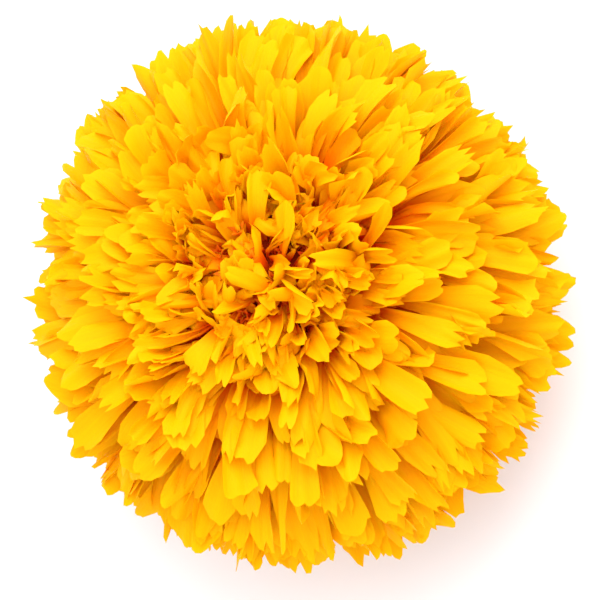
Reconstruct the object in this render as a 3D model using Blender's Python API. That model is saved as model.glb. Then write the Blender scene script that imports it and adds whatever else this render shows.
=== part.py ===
"""One double marigold flower head, cut just below its green cup and standing on the cut end.

Four pieces that grow into each other: the stalk with the receptacle on its end, the cup of grown-together
bracts round the receptacle, the ray florets (the petals), and the disc florets in the middle.
Metres, +Z up. The origin is the centre of the stalk's cut end, and the head stands straight up over it.
"""

import math
import random

import bmesh
import bpy
from mathutils import Vector

MM = 0.001
GAP = 0.3 * MM                     # between any two pieces that grow into each other
GOLDEN_ANGLE = math.radians(137.508)

# The stalk, and the receptacle that it swells into inside the cup.
STALK_RADIUS = 2.7 * MM
RECEPTACLE_RADIUS = 6.2 * MM
RECEPTACLE_TOP = 12.0 * MM
STALK_SIDES = 28

# The cup of bracts.
CUP_BOTTOM = 3.0 * MM
CUP_RIM = 15.8 * MM
CUP_RADIUS = 8.8 * MM
CUP_WALL = 1.0 * MM
BRACTS = 9
SIDES_PER_BRACT = 4
RIB_RISE = 0.45 * MM               # how far each bract's keel stands out of the cup
BRACT_TIP = 3.0 * MM               # how far each bract's free tip stands over the rim

# The ray florets: an oblate ball of tips round a smaller core.
HEAD_RADIUS = 37.0 * MM
HEAD_MIDDLE = 21.0 * MM            # the height of the widest place
DOME_RISE = 23.5 * MM
LOWER_DROP = 20.0 * MM
LONG_WAY = math.radians(130.0)     # the direction in which the head is widest
BALL_FLORETS = 218
TOP_POLAR = math.radians(14.0)     # the angle from straight up to the innermost floret's tip
LOW_POLAR = math.radians(128.0)
SKIRT_FLORETS = 24                 # the outermost row, which hangs from the cup's rim to the table
SKIRT_OUT = 27.5 * MM
SKIRT_WIDTH = 1.08                 # how much wider those florets are than the rest
CORE_SIDES = 14
BLADE_WIDTH = 6.2 * MM
BLADE_THICKNESS = 0.65 * MM
BLADE_TIP_RUN = 9.5 * MM           # from a floret's bend to its tip
BLADE_ROOT_RUN = 9.0 * MM          # from its root in the core to its bend
WIDEST_AT = 0.84                   # where along its length a blade is widest
FLORET_SEED = 11

# The disc florets: small five-lobed trumpets on a low cushion.
DISC_RADIUS = 8.0 * MM
DISC_CLEARANCE = 1.1 * MM          # from the disc to the innermost ray florets
DISC_FOOT = 33.0 * MM
DISC_FLORETS = 30
DISC_CUSHION = 2.6 * MM
TRUMPET_RISE = 7.6 * MM
TRUMPET_THROAT = 0.6 * MM
TRUMPET_MOUTH = 1.6 * MM
DISC_SEED = 5


def clear_scene():
    for old in list(bpy.data.objects):
        bpy.data.objects.remove(old, do_unlink=True)


def plain_material(name, colour, roughness):
    """A Principled material of one colour."""
    material = bpy.data.materials.new(name)
    material.use_nodes = True
    shader = material.node_tree.nodes["Principled BSDF"]
    shader.inputs["Base Color"].default_value = (*colour, 1.0)
    shader.inputs["Roughness"].default_value = roughness
    shader.inputs["Metallic"].default_value = 0.0
    material.diffuse_color = (*colour, 1.0)
    return material


def object_from(bm, name, material=None):
    """Turn a bmesh into an object in the scene."""
    bmesh.ops.recalc_face_normals(bm, faces=bm.faces)
    mesh = bpy.data.meshes.new(name)
    bm.to_mesh(mesh)
    bm.free()
    made = bpy.data.objects.new(name, mesh)
    if material:
        mesh.materials.append(material)
    bpy.context.scene.collection.objects.link(made)
    return made


def turned(bm, profile, sides):
    """Turn a profile of (out, up) points, which starts and ends on the axis, into a closed body."""
    rings = []
    for out, up in profile[1:-1]:
        ring = []
        for side in range(sides):
            turn = 2.0 * math.pi * side / sides
            ring.append(bm.verts.new((out * math.cos(turn), out * math.sin(turn), up)))
        rings.append(ring)
    first = bm.verts.new((0.0, 0.0, profile[0][1]))
    last = bm.verts.new((0.0, 0.0, profile[-1][1]))
    for side in range(sides):
        after = (side + 1) % sides
        bm.faces.new((first, rings[0][after], rings[0][side]))
        bm.faces.new((last, rings[-1][side], rings[-1][after]))
        for below, above in zip(rings, rings[1:]):
            bm.faces.new((below[side], below[after], above[after], above[side]))


def stalk():
    """The cut stub of the stalk, flat underneath, which swells into the receptacle inside the cup."""
    swell = RECEPTACLE_TOP - CUP_BOTTOM
    profile = [
        (0.0, 0.0),
        (STALK_RADIUS - 0.2 * MM, 0.0),
        (STALK_RADIUS, 0.3 * MM),
        (STALK_RADIUS, CUP_BOTTOM + 0.4 * MM),
        (0.62 * RECEPTACLE_RADIUS, CUP_BOTTOM + 0.24 * swell),
        (0.86 * RECEPTACLE_RADIUS, CUP_BOTTOM + 0.46 * swell),
        (RECEPTACLE_RADIUS, CUP_BOTTOM + 0.72 * swell),
        (0.97 * RECEPTACLE_RADIUS, CUP_BOTTOM + 0.9 * swell),
        (0.8 * RECEPTACLE_RADIUS, RECEPTACLE_TOP),
        (0.0, RECEPTACLE_TOP),
    ]
    bm = bmesh.new()
    turned(bm, profile, STALK_SIDES)
    return object_from(bm, "stalk", plain_material("stalk_green", (0.23, 0.36, 0.08), 0.6))


def cup():
    """The cup: bracts grown together into a ribbed tube with a free pointed tip to each bract."""
    height = CUP_RIM - CUP_BOTTOM
    outside = [
        (0.42 * CUP_RADIUS, 0.0),
        (0.66 * CUP_RADIUS, 0.12),
        (0.86 * CUP_RADIUS, 0.32),
        (0.97 * CUP_RADIUS, 0.58),
        (CUP_RADIUS, 1.0),
    ]
    inside = [
        (STALK_RADIUS + GAP, 0.0),
        (STALK_RADIUS + GAP, 0.05),
        (0.62 * RECEPTACLE_RADIUS + 1.2 * GAP, 0.15),
        (0.86 * RECEPTACLE_RADIUS + 1.2 * GAP, 0.3),
        (RECEPTACLE_RADIUS + 1.2 * GAP, 0.47),
        (CUP_RADIUS - CUP_WALL, 1.0),
    ]
    sides = BRACTS * SIDES_PER_BRACT
    bm = bmesh.new()

    def ring(out, up, ribbed, tipped):
        made = []
        for side in range(sides):
            turn = 2.0 * math.pi * side / sides
            across = (side % SIDES_PER_BRACT) / SIDES_PER_BRACT
            keel = 0.5 + 0.5 * math.cos(2.0 * math.pi * across)
            reach = out + ribbed * RIB_RISE * keel + tipped * 0.25 * BRACT_TIP * keel
            lift = up + tipped * BRACT_TIP * keel
            made.append(bm.verts.new((reach * math.cos(turn), reach * math.sin(turn), lift)))
        return made

    rings = []
    for out, share in outside:
        rings.append(ring(out, CUP_BOTTOM + share * height, 1.0 if share > 0.0 else 0.0, 0.0))
    rings.append(ring(CUP_RADIUS, CUP_RIM, 1.0, 1.0))
    rings.append(ring(CUP_RADIUS - 0.75 * CUP_WALL, CUP_RIM, 1.0, 1.0))
    for out, share in reversed(inside):
        rings.append(ring(out, CUP_BOTTOM + share * height, 0.0, 0.0))
    for below, above in zip(rings, rings[1:] + rings[:1]):
        for side in range(sides):
            after = (side + 1) % sides
            bm.faces.new((below[side], below[after], above[after], above[side]))
    return object_from(bm, "bract_cup", plain_material("bract_green", (0.18, 0.33, 0.07), 0.6))


def heading(angle):
    """A unit step (out, up) at an angle from straight up."""
    return Vector((math.sin(angle), math.cos(angle)))


def unevenness(turn):
    """The head is a little wider one way than the other, as grown: a share of its radius."""
    return 1.0 + 0.022 * math.cos(2.0 * (turn - LONG_WAY)) + 0.012 * math.cos(3.0 * turn + 0.7)


def ball_floret(index, turn, draw):
    """Root, bend and tip (out, up) of a floret on the ball, and its width beside the usual width."""
    outward = 1.0 - (index + 0.5) / BALL_FLORETS
    polar = TOP_POLAR + (LOW_POLAR - TOP_POLAR) * outward ** 0.94 + math.radians(draw.uniform(-1.6, 1.6))
    reach = draw.uniform(0.95, 1.02) * unevenness(turn)
    rise = DOME_RISE * math.cos(polar)
    if polar > 0.5 * math.pi:
        rise = -LOWER_DROP * abs(math.cos(polar)) ** 0.85
    tip = Vector((HEAD_RADIUS * reach * math.sin(polar) ** 0.9, HEAD_MIDDLE + reach * rise))
    curl = math.radians(5.0 + 36.0 * math.sin(math.pi * outward ** 0.6) + draw.uniform(-9.0, 10.0))
    inner = max(0.0, 0.3 - outward) / 0.3
    bend = tip - BLADE_TIP_RUN * (1.0 - 0.4 * inner) * heading(polar + curl)
    root = bend - BLADE_ROOT_RUN * heading(polar * (1.0 - 0.6 * inner))
    for point in (root, bend, tip):
        point.x = max(point.x, DISC_RADIUS + DISC_CLEARANCE)
    return root, bend, tip, 1.0 - 0.3 * inner


def skirt_floret(draw):
    """The same for a floret of the outermost row, which hangs from the cup's rim."""
    tip = Vector((SKIRT_OUT * draw.uniform(0.96, 1.04), draw.uniform(1.2, 2.8) * MM))
    return Vector((9.5 * MM, 21.8 * MM)), Vector((20.5 * MM, 16.6 * MM)), tip, SKIRT_WIDTH


def ray_floret(index, draw):
    """Where one ray floret grows and how it is shaped, counted from the outermost row to the innermost.

    root, bend and tip are (out, up) in the floret's own upright plane, which is turned about the axis.
    """
    if index < SKIRT_FLORETS:
        turn = 2.0 * math.pi * index / SKIRT_FLORETS
        root, bend, tip, breadth = skirt_floret(draw)
    else:
        turn = index * GOLDEN_ANGLE
        root, bend, tip, breadth = ball_floret(index - SKIRT_FLORETS, turn, draw)
    return {
        "turn": turn + math.radians(draw.uniform(-3.5, 3.5)),
        "root": root,
        "bend": bend,
        "tip": tip,
        "width": BLADE_WIDTH * breadth * draw.uniform(0.88, 1.1),
        "fold": draw.uniform(-0.3, 0.8) * MM,
        "twist": math.radians(draw.uniform(-16.0, 16.0)),
        "teeth": draw.choice((2, 2, 2, 3)),
        "notch": draw.uniform(0.08, 0.15),
        "rests": index < SKIRT_FLORETS and index % 3 == 0,
    }


def blade(floret):
    """One ray floret as a thin closed blade, a wedge that is widest just before its toothed tip."""
    out = Vector((math.cos(floret["turn"]), math.sin(floret["turn"]), 0.0))
    level = Vector((-out.y, out.x, 0.0))
    up = Vector((0.0, 0.0, 1.0))

    def station(along):
        """The middle of the blade, its sideways direction and the way its face looks, part way along."""
        root, bend, tip = floret["root"], floret["bend"], floret["tip"]
        flat = (1 - along) ** 2 * root + 2 * along * (1 - along) * bend + along ** 2 * tip
        slope = ((1 - along) * (bend - root) + along * (tip - bend)).normalized()
        ahead = out * slope.x + up * slope.y
        twist = floret["twist"] * along
        face = ahead.cross(level)
        side = level * math.cos(twist) + face * math.sin(twist)
        return out * flat.x + up * flat.y, side, ahead.cross(side)

    half = 0.5 * floret["width"]
    notch = floret["notch"]
    # (along, across as a share of the half width), once round the outline from the root
    outline = [(0.0, -0.4), (WIDEST_AT, -1.0)]
    if floret["teeth"] == 2:
        outline += [(1.0, -0.5), (1.0 - notch, 0.0), (0.98, 0.54)]
    else:
        outline += [(0.95, -0.68), (0.98 - notch, -0.3), (1.0, 0.04), (0.97 - notch, 0.36), (0.94, 0.7)]
    outline += [(WIDEST_AT, 1.0), (0.0, 0.4)]
    bm = bmesh.new()
    layers = []
    for offset in (0.5 * BLADE_THICKNESS, -0.5 * BLADE_THICKNESS):
        corners = []
        for along, across in outline + [(WIDEST_AT, 0.0)]:
            middle, side, face = station(along)
            edge_lift = floret["fold"] * abs(across) * min(1.0, along / WIDEST_AT)
            corners.append(bm.verts.new(middle + side * across * half + face * (edge_lift + offset)))
        layers.append(corners)
    if floret["rests"]:
        lowest = min(vert.co.z for vert in bm.verts)
        bmesh.ops.translate(bm, verts=bm.verts, vec=(0.0, 0.0, -lowest))
    keel = len(outline)
    for corners in layers:
        for at in range(len(outline)):
            after = (at + 1) % len(outline)
            bm.faces.new((corners[at], corners[after], corners[keel]))
    for at in range(len(outline)):
        after = (at + 1) % len(outline)
        bm.faces.new((layers[0][at], layers[0][after], layers[1][after], layers[1][at]))
    return bm


def largest_piece(bm):
    """Delete all but the largest connected piece: loose scraps, and the walls of sealed hollows."""
    left = set(bm.verts)
    pieces = []
    while left:
        front = [left.pop()]
        piece = []
        while front:
            vert = front.pop()
            piece.append(vert)
            for edge in vert.link_edges:
                other = edge.other_vert(vert)
                if other in left:
                    left.remove(other)
                    front.append(other)
        pieces.append(piece)
    pieces.sort(key=len)
    for piece in pieces[:-1]:
        bmesh.ops.delete(bm, geom=piece, context="VERTS")


def fuse(base, others):
    """Join the objects of a collection into the base object with one Boolean union, as one body."""
    joined = base.modifiers.new("join", "BOOLEAN")
    joined.operation = "UNION"
    joined.operand_type = "COLLECTION"
    joined.collection = others
    joined.solver = "MANIFOLD"
    bpy.context.view_layer.update()
    mesh = bpy.data.meshes.new_from_object(base.evaluated_get(bpy.context.evaluated_depsgraph_get()))
    base.modifiers.remove(joined)
    bm = bmesh.new()
    bm.from_mesh(mesh)
    largest_piece(bm)
    bm.to_mesh(mesh)
    bm.free()
    base.data = mesh
    for used in list(others.objects):
        bpy.data.objects.remove(used, do_unlink=True)
    bpy.data.collections.remove(others)


def ray_florets():
    """All the ray florets, fused to the smaller core that they stand out of."""
    core_profile = [
        (0.0, RECEPTACLE_TOP + GAP),
        (4.6 * MM, RECEPTACLE_TOP + GAP),
        (7.2 * MM, 16.0 * MM),
        (7.3 * MM, 20.3 * MM),
        (12.0 * MM, 21.6 * MM),
        (22.5 * MM, 17.6 * MM),
        (25.8 * MM, 22.5 * MM),
        (23.0 * MM, 30.0 * MM),
        (15.5 * MM, 35.4 * MM),
        (DISC_RADIUS + GAP, 37.0 * MM),
        (DISC_RADIUS + GAP, DISC_FOOT - GAP),
        (0.0, DISC_FOOT - GAP),
    ]
    bm = bmesh.new()
    turned(bm, core_profile, CORE_SIDES)
    core = object_from(bm, "ray_florets", plain_material("petal_yellow", (0.95, 0.52, 0.01), 0.5))
    blades = bpy.data.collections.new("blades")
    bpy.context.scene.collection.children.link(blades)
    draw = random.Random(FLORET_SEED)
    for index in range(SKIRT_FLORETS + BALL_FLORETS):
        floret = ray_floret(index, draw)
        made = object_from(blade(floret), f"blade_{index}")
        bpy.context.scene.collection.objects.unlink(made)
        blades.objects.link(made)
    fuse(core, blades)
    return core


def trumpet(bm, foot, lean, rise, turn):
    """A disc floret: a five-sided tube that flares into five pointed lobes round a sunk throat."""
    axis = (Vector((0.0, 0.0, 1.0)) + lean).normalized()
    first = axis.orthogonal().normalized()
    second = axis.cross(first)

    def ring(points, radius, up, inner=1.0):
        made = []
        for point in range(points):
            angle = turn + 2.0 * math.pi * point / points
            reach = radius * (inner if point % 2 else 1.0)
            across = first * math.cos(angle) + second * math.sin(angle)
            made.append(bm.verts.new(foot + axis * up + across * reach))
        return made

    low = ring(5, TRUMPET_THROAT, 0.0)
    neck = ring(5, TRUMPET_THROAT, 0.62 * rise)
    lobes = ring(10, TRUMPET_MOUTH, rise, 0.55)
    throat = bm.verts.new(foot + axis * 0.8 * rise)
    bm.faces.new(low)
    for side in range(5):
        after = (side + 1) % 5
        bm.faces.new((low[side], low[after], neck[after], neck[side]))
        bm.faces.new((neck[side], lobes[2 * side + 1], lobes[2 * side]))
        bm.faces.new((neck[side], neck[after], lobes[2 * side + 1]))
        bm.faces.new((neck[after], lobes[(2 * side + 2) % 10], lobes[2 * side + 1]))
        bm.faces.new((throat, lobes[2 * side], lobes[2 * side + 1]))
        bm.faces.new((throat, lobes[2 * side + 1], lobes[(2 * side + 2) % 10]))


def disc_florets():
    """The disc florets in the middle, on the low cushion that they grow from."""
    cushion_profile = [
        (0.0, DISC_FOOT),
        (DISC_RADIUS, DISC_FOOT),
        (0.85 * DISC_RADIUS, DISC_FOOT + 0.6 * DISC_CUSHION),
        (0.0, DISC_FOOT + DISC_CUSHION),
    ]
    bm = bmesh.new()
    turned(bm, cushion_profile, CORE_SIDES)
    cushion = object_from(bm, "disc_florets", plain_material("disc_orange", (0.90, 0.36, 0.02), 0.6))
    trumpets = bpy.data.collections.new("trumpets")
    bpy.context.scene.collection.children.link(trumpets)
    draw = random.Random(DISC_SEED)
    for index in range(DISC_FLORETS):
        out = (DISC_RADIUS - TRUMPET_MOUTH) * math.sqrt((index + 0.4) / DISC_FLORETS)
        turn = index * GOLDEN_ANGLE
        outward = Vector((math.cos(turn), math.sin(turn), 0.0))
        rise = TRUMPET_RISE * draw.uniform(0.75, 1.12)
        bm = bmesh.new()
        foot = outward * out + Vector((0.0, 0.0, DISC_FOOT + 0.5 * MM))
        trumpet(bm, foot, outward * draw.uniform(-0.05, 0.04), rise, turn)
        made = object_from(bm, f"trumpet_{index}")
        bpy.context.scene.collection.objects.unlink(made)
        trumpets.objects.link(made)
    fuse(cushion, trumpets)
    return cushion


def main():
    clear_scene()
    stalk()
    cup()
    ray_florets()
    disc_florets()


main()
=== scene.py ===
"""The looks of one double marigold flower head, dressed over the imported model, in metres, +Z up.

In the order in which the head is put together: the cut stalk, the cup of bracts, the ray florets and the
tubes that they stand on, the young florets, the disc florets, and last the floor, light and camera.
"""

import math
import random

import bmesh
import bpy
from mathutils import Matrix, Vector


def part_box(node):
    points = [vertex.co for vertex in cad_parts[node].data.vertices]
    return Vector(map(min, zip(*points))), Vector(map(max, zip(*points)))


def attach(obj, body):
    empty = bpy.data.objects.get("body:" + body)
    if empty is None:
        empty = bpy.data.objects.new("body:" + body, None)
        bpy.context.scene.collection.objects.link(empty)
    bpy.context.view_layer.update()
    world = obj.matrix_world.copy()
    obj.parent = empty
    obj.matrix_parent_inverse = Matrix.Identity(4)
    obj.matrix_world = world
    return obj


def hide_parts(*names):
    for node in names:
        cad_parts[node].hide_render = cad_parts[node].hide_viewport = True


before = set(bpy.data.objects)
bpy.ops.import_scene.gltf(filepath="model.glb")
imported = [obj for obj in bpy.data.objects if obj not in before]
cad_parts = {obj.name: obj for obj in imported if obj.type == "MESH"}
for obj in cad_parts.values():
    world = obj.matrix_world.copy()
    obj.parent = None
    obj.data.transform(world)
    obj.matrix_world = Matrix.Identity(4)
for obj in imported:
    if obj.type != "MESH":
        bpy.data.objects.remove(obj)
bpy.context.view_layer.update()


# --- The cut stalk -------------------------------------------------------------------------------
# A stub of the green stalk, lightly ribbed, cut square at the bottom, where the pith shows in its
# ring of fibres. Inside the cup it swells into the receptacle that all the florets stand on.

MM = 0.001
STALK_LOW, STALK_HIGH = (Vector(corner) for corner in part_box("stalk"))
CUP_LOW, CUP_HIGH = (Vector(corner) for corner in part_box("bract_cup"))
STALK_RADIUS = 2.65 * MM
STALK_RIBS = 11
STALK_SIDES = 66
STALK_GRAIN = (900.0, 900.0, 120.0)
RIB_DEPTH = 0.09 * MM
STUB = 1.2 * MM
CUT_EDGE = 0.2 * MM
PITH_SHARE = 0.55
PITH_SINK = 0.12 * MM
RECEPTACLE_CLEARANCE = 0.15 * MM
RECEPTACLE_RADIUS = 0.5 * (STALK_HIGH.x - STALK_LOW.x) - RECEPTACLE_CLEARANCE
VEIN_SCALE = 1.6
MOTTLE_SCALE = 0.35
SHEEN = 0.02
ROUGH_SPREAD = 0.2
FLESH_TINT = (1.0, 0.6, 0.1)
FLESH_DEPTH = 0.6 * MM


def around(out, turn, up):
    """The point that far out from the axis and that high, at a turn about it."""
    return Vector((out * math.cos(turn), out * math.sin(turn), up))


def faces_between(bm, rings):
    """Smooth faces from each ring of points to the next."""
    for below, above in zip(rings, rings[1:]):
        for side in range(len(below)):
            after = (side + 1) % len(below)
            bm.faces.new((below[side], below[after], above[after], above[side])).smooth = True


def mesh_from(name, bm):
    mesh = bpy.data.meshes.new(name)
    bm.to_mesh(mesh)
    bm.free()
    return mesh


def closed_mesh(name, rings, first, last):
    """A closed skin over rings of points, with a point at each end."""
    bm = bmesh.new()
    made = [[bm.verts.new(point) for point in ring] for ring in rings]
    ends = [bm.verts.new(first), bm.verts.new(last)]
    faces_between(bm, made)
    for side in range(len(made[0])):
        after = (side + 1) % len(made[0])
        bm.faces.new((ends[0], made[0][after], made[0][side])).smooth = True
        bm.faces.new((ends[1], made[-1][side], made[-1][after])).smooth = True
    return mesh_from(name, bm)


def blank(name, bm):
    """An object that the trees copy; it isn't in the scene itself."""
    return bpy.data.objects.new(name, mesh_from(name, bm))


def in_scene(name, data):
    made = bpy.data.objects.new(name, data)
    bpy.context.scene.collection.objects.link(made)
    return made


def stalk_rings():
    """The stalk from the edge of its pith out over the cut edge and up to the receptacle's crown."""
    inside = STALK_HIGH.z - CUP_LOW.z
    profile = [
        (PITH_SHARE * STALK_RADIUS, PITH_SINK),
        ((PITH_SHARE + 0.06) * STALK_RADIUS, 0.0),
        (0.93 * STALK_RADIUS, 0.0),
        (STALK_RADIUS, CUT_EDGE),
        (STALK_RADIUS, STUB),
        (STALK_RADIUS, CUP_LOW.z),
        (1.02 * STALK_RADIUS, CUP_LOW.z + 0.05 * inside),
        (0.62 * RECEPTACLE_RADIUS, CUP_LOW.z + 0.24 * inside),
        (0.86 * RECEPTACLE_RADIUS, CUP_LOW.z + 0.46 * inside),
        (RECEPTACLE_RADIUS, CUP_LOW.z + 0.72 * inside),
        (0.97 * RECEPTACLE_RADIUS, CUP_LOW.z + 0.9 * inside),
        (0.8 * RECEPTACLE_RADIUS, STALK_HIGH.z - 0.1 * MM),
    ]
    rings = []
    for out, up in profile:
        ring = []
        for side in range(STALK_SIDES):
            turn = 2.0 * math.pi * side / STALK_SIDES
            reach = out + RIB_DEPTH * math.cos(STALK_RIBS * turn) * min(1.0, out / STALK_RADIUS)
            ring.append(around(reach, turn, up))
        rings.append(ring)
    return rings


class Field:
    """A node's output that can be written in a formula: each sign adds the math node that it stands for."""

    def __init__(self, tree, socket):
        self.tree = tree
        self.socket = socket

    def node(self, kind, operation, *feeds):
        made = self.tree.nodes.new(kind)
        made.operation = operation
        for place, feed in feeds:
            if isinstance(feed, Field):
                self.tree.links.new(feed.socket, made.inputs[place])
            else:
                made.inputs[place].default_value = feed
        return made

    def math(self, operation, *others):
        feeds = enumerate((self, *others))
        return Field(self.tree, self.node("ShaderNodeMath", operation, *feeds).outputs[0])

    def vector(self, operation, *others):
        feeds = enumerate((self, *others))
        return Field(self.tree, self.node("ShaderNodeVectorMath", operation, *feeds).outputs[0])

    def is_vector(self):
        return self.socket.type == "VECTOR"

    def __add__(self, other):
        return self.vector("ADD", other) if self.is_vector() else self.math("ADD", other)

    def __sub__(self, other):
        return self.vector("SUBTRACT", other) if self.is_vector() else self.math("SUBTRACT", other)

    def __rsub__(self, other):
        return self.math("MULTIPLY", -1.0).math("ADD", other)

    def __mul__(self, amount):
        if not self.is_vector():
            return self.math("MULTIPLY", amount)
        return Field(self.tree, self.node("ShaderNodeVectorMath", "SCALE", (0, self), (3, amount)).outputs[0])

    def __truediv__(self, other):
        return self.math("DIVIDE", other)

    def eased(self, low, high):
        """0 up to low, 1 from high on, and a smooth rise between them."""
        ramp = self.tree.nodes.new("ShaderNodeMapRange")
        ramp.interpolation_type = "SMOOTHSTEP"
        self.tree.links.new(self.socket, ramp.inputs["Value"])
        ramp.inputs["From Min"].default_value = low
        ramp.inputs["From Max"].default_value = high
        return Field(self.tree, ramp.outputs["Result"])


def vector_from(tree, x, y, z):
    together = tree.nodes.new("ShaderNodeCombineXYZ")
    for part, target in zip((x, y, z), together.inputs):
        tree.links.new(part.socket, target)
    return Field(tree, together.outputs[0])


def parts_of(tree, vector):
    """X, Y and Z of a vector."""
    apart = tree.nodes.new("ShaderNodeSeparateXYZ")
    tree.links.new(vector.socket, apart.inputs[0])
    return (Field(tree, output) for output in apart.outputs)


def grain_group():
    """The grain of a plant's skin: fine long veins and broad soft mottling, both from 0 to 1."""
    group = bpy.data.node_groups.new("plant_grain", "ShaderNodeTree")
    group.interface.new_socket("Place", in_out="INPUT", socket_type="NodeSocketVector")
    for label in ("Vein", "Mottle"):
        group.interface.new_socket(label, in_out="OUTPUT", socket_type="NodeSocketFloat")
    given = group.nodes.new("NodeGroupInput")
    result = group.nodes.new("NodeGroupOutput")
    for label, scale, detail in (("Vein", VEIN_SCALE, 3.0), ("Mottle", MOTTLE_SCALE, 1.0)):
        noise = group.nodes.new("ShaderNodeTexNoise")
        noise.inputs["Scale"].default_value = scale
        noise.inputs["Detail"].default_value = detail
        group.links.new(given.outputs["Place"], noise.inputs["Vector"])
        group.links.new(noise.outputs["Fac"], result.inputs[label])
    return group


plant_grain = grain_group()


class Skin:
    """A plant's skin: a Principled material with the shared grain, which its own formulas then colour."""

    def __init__(self, name):
        self.material = bpy.data.materials.new(name)
        self.material.use_nodes = True
        self.tree = self.material.node_tree
        self.shader = self.tree.nodes["Principled BSDF"]

    def attribute(self, label):
        reader = self.tree.nodes.new("ShaderNodeAttribute")
        reader.attribute_name = label
        return Field(self.tree, reader.outputs["Fac"])

    def place(self):
        """X, Y and Z of the point in the object's own space."""
        coordinates = self.tree.nodes.new("ShaderNodeTexCoord")
        return parts_of(self.tree, Field(self.tree, coordinates.outputs["Object"]))

    def grain(self, place, waves):
        """Vein and mottle at a place of three fields, each stretched by its own number of waves."""
        scaled = vector_from(self.tree, *(part * count for part, count in zip(place, waves)))
        group = self.tree.nodes.new("ShaderNodeGroup")
        group.node_tree = plant_grain
        self.tree.links.new(scaled.socket, group.inputs["Place"])
        return Field(self.tree, group.outputs["Vein"]), Field(self.tree, group.outputs["Mottle"])

    def colours(self, amount, stops):
        """The colour at an amount from 0 to 1, between stops of (place, red, green, blue)."""
        ramp = self.tree.nodes.new("ShaderNodeValToRGB")
        elements = ramp.color_ramp.elements
        elements.remove(elements[1])
        for at, (place, *colour) in enumerate(stops):
            element = elements[0] if at == 0 else elements.new(place)
            element.position = place
            element.color = (*colour, 1.0)
        self.tree.links.new(amount.socket, ramp.inputs["Fac"])
        return ramp.outputs["Color"]

    def mixed(self, amount, under, over):
        mix = self.tree.nodes.new("ShaderNodeMix")
        mix.data_type = "RGBA"
        sockets = {socket.identifier: socket for socket in mix.inputs}
        self.tree.links.new(amount.socket, sockets["Factor_Float"])
        self.tree.links.new(under, sockets["A_Color"])
        if isinstance(over, tuple):
            sockets["B_Color"].default_value = (*over, 1.0)
        else:
            self.tree.links.new(over, sockets["B_Color"])
        return next(socket for socket in mix.outputs if socket.identifier == "Result_Color")

    def finish(self, colour, vein, rough, bump, depth, glow):
        """Wire the colour, let the veins roughen and raise the skin, and some light through the flesh."""
        self.tree.links.new(colour, self.shader.inputs["Base Color"])
        self.tree.links.new((vein * ROUGH_SPREAD + rough).socket, self.shader.inputs["Roughness"])
        relief = self.tree.nodes.new("ShaderNodeBump")
        relief.inputs["Strength"].default_value = bump
        relief.inputs["Distance"].default_value = depth
        self.tree.links.new(vein.socket, relief.inputs["Height"])
        self.tree.links.new(relief.outputs["Normal"], self.shader.inputs["Normal"])
        flesh = {"Weight": glow, "Radius": FLESH_TINT, "Scale": FLESH_DEPTH}
        for label, value in flesh.items():
            self.shader.inputs["Subsurface " + label].default_value = value
        self.shader.inputs["Specular IOR Level"].default_value = SHEEN
        return self.material


def stalk_material():
    """Pale green with long streaks; on the cut face, a ring of darker fibres round a pale pith."""
    skin = Skin("stalk_skin")
    x, y, z = skin.place()
    vein, mottle = skin.grain((x, y, z), STALK_GRAIN)
    green = skin.colours(vein * 0.6 + mottle * 0.4, (
        (0.25, 0.13, 0.24, 0.03),
        (0.55, 0.22, 0.36, 0.06),
        (0.8, 0.34, 0.47, 0.12),
    ))
    share = (x * x + y * y).math("SQRT") / STALK_RADIUS
    fibres = skin.colours(share + (vein - 0.5) * 0.12, (
        (0.0, 0.62, 0.66, 0.38),
        (0.5, 0.55, 0.62, 0.32),
        (0.62, 0.20, 0.30, 0.06),
        (0.74, 0.42, 0.52, 0.20),
        (0.95, 0.16, 0.27, 0.04),
    ))
    cut = 1.0 - z.eased(PITH_SINK, CUT_EDGE)
    colour = skin.mixed(cut, green, fibres)
    return skin.finish(colour, vein, rough=0.42, bump=0.4, depth=0.1 * MM, glow=0.1)


stalk_mesh = closed_mesh("cut_stalk", stalk_rings(), (0.0, 0.0, PITH_SINK), (0.0, 0.0, STALK_HIGH.z))
stalk_mesh.materials.append(stalk_material())
cut_stalk = in_scene("cut_stalk", stalk_mesh)
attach(cut_stalk, "root")
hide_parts("stalk")


# --- The cup of bracts ---------------------------------------------------------------------------
# Nine bracts grown together edge to edge into a ribbed green cup, each with a keel, a free pointed
# tip that bends outwards, and two rows of raised oil glands. It is thin at the tips, thick below.

BRACTS = 9
SIDES_PER_BRACT = 12
WALL_ROWS = 14
LINING_ROWS = 8
CUP_RIM = 15.8 * MM
CUP_RADIUS = 8.8 * MM
FOOT_SHARE = 0.42
WALL_SWELL = 3.6
LINING_RADIUS = 3.0 * MM
LINING_SPREAD = 4.8 * MM
LINING_SWELL = 2.4
KEEL_PART = 0.7
GROOVE_PART = 0.9
GROOVE_SHARPNESS = 0.25
RIB_LEVEL = 0.6
RIBS_FULL_FROM = 0.25
FREE_FROM = 0.8
TIP_BEND = 0.25
BRACT_GRAIN = (800.0, 800.0, 110.0)
GLAND_ROWS = 6
GLAND_HALF = Vector((0.16, 0.24, 0.62)) * MM
GLAND_START = 11.0 * MM
GLAND_BESIDE = 0.23
GLAND_NARROWING = 0.05
GLAND_LOWEST = 0.26
GLAND_STEP = 0.1
GLAND_SEED = 3
GLAND_GRAIN = (1500.0, 1500.0, 1500.0)


def blank_with(*labels):
    """An empty mesh whose points carry these numbers, which the trees read as attributes."""
    bm = bmesh.new()
    for label in labels:
        bm.verts.layers.float.new(label)
    return bm


def marked_vert(bm, place, **marks):
    vert = bm.verts.new(place)
    for label, value in marks.items():
        vert[bm.verts.layers.float[label]] = value
    return vert


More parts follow.
